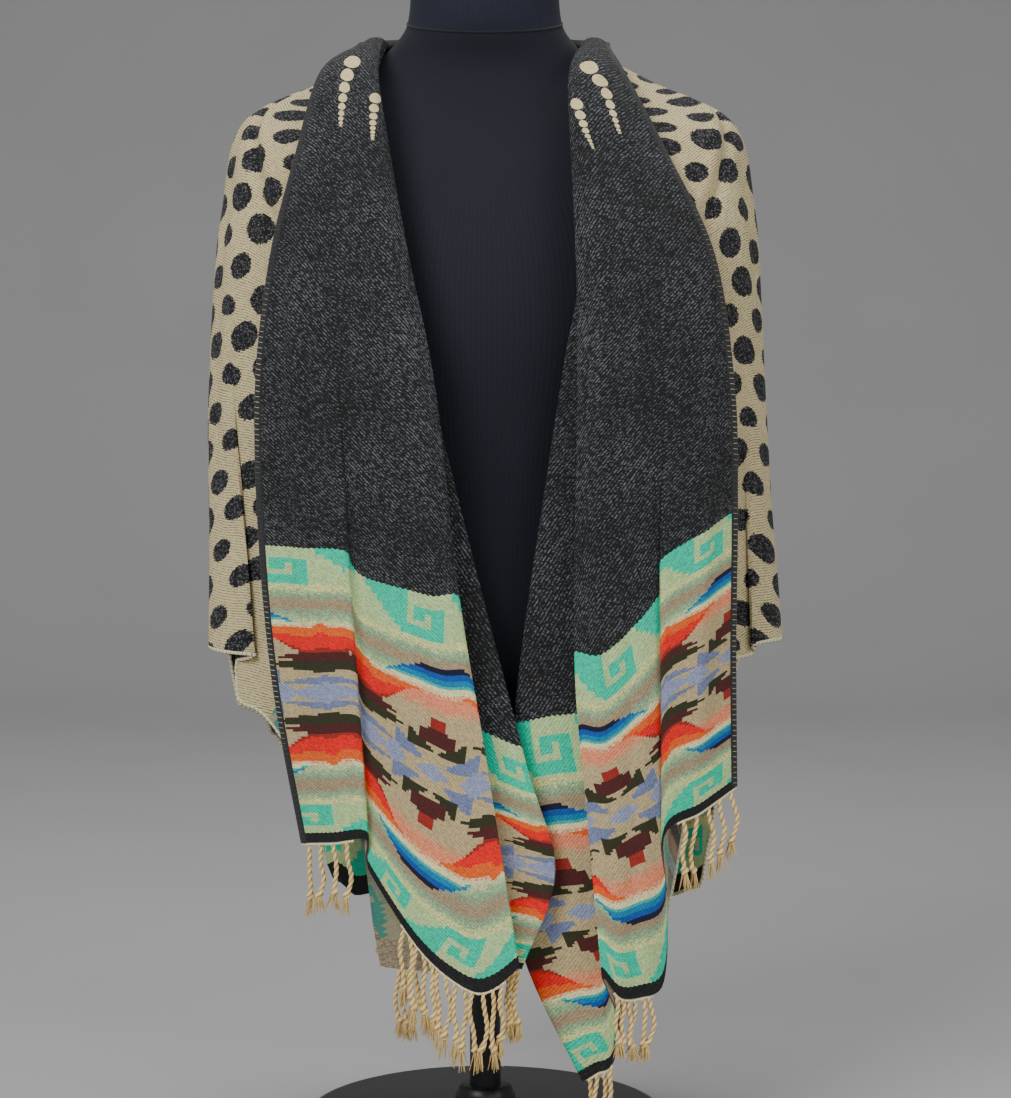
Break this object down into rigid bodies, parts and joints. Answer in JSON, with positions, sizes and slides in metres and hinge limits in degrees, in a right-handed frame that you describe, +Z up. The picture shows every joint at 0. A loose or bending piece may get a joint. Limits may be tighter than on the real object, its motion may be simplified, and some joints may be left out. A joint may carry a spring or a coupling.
{
  "type": "poncho on dress form",
  "caption": "Open-front woven poncho with turned-back patterned fronts, draped sides and knotted fringe, on a limbless dress form with a round stand.",
  "frame": {"origin": "centre of the underside of the form's round base, on the floor", "axes": "+Z up, +X towards the wearer's left, -Y towards the front"},
  "size_m": [0.4587, 0.3044, 0.9483],
  "materials": {
    "jersey": "matt black jersey",
    "cap": "matt",
    "steel": "satin black",
    "cloth_beige": "woven, double-faced, beige side out",
    "cloth_charcoal": "woven, double-faced, charcoal side out with a patterned border",
    "fringe": "twisted cotton cord"
  },
  "bodies": {
    "root": {"form_body": "jersey", "neck_cap": "cap", "stand_pole": "steel", "stand_base": "steel", "stand_collar": "steel", "back_and_sides": "cloth_beige", "right_front": "cloth_charcoal", "left_front": "cloth_charcoal", "neck_roll": "cloth_charcoal", "right_front_fringe_outer": "fringe", "right_front_fringe_inner": "fringe", "right_strip_fringe": "fringe", "left_front_fringe_outer": "fringe", "left_front_fringe_inner": "fringe", "left_strip_fringe": "fringe", "right_under_fringe": "fringe", "back_fringe": "fringe"}
  },
  "joints": []
}
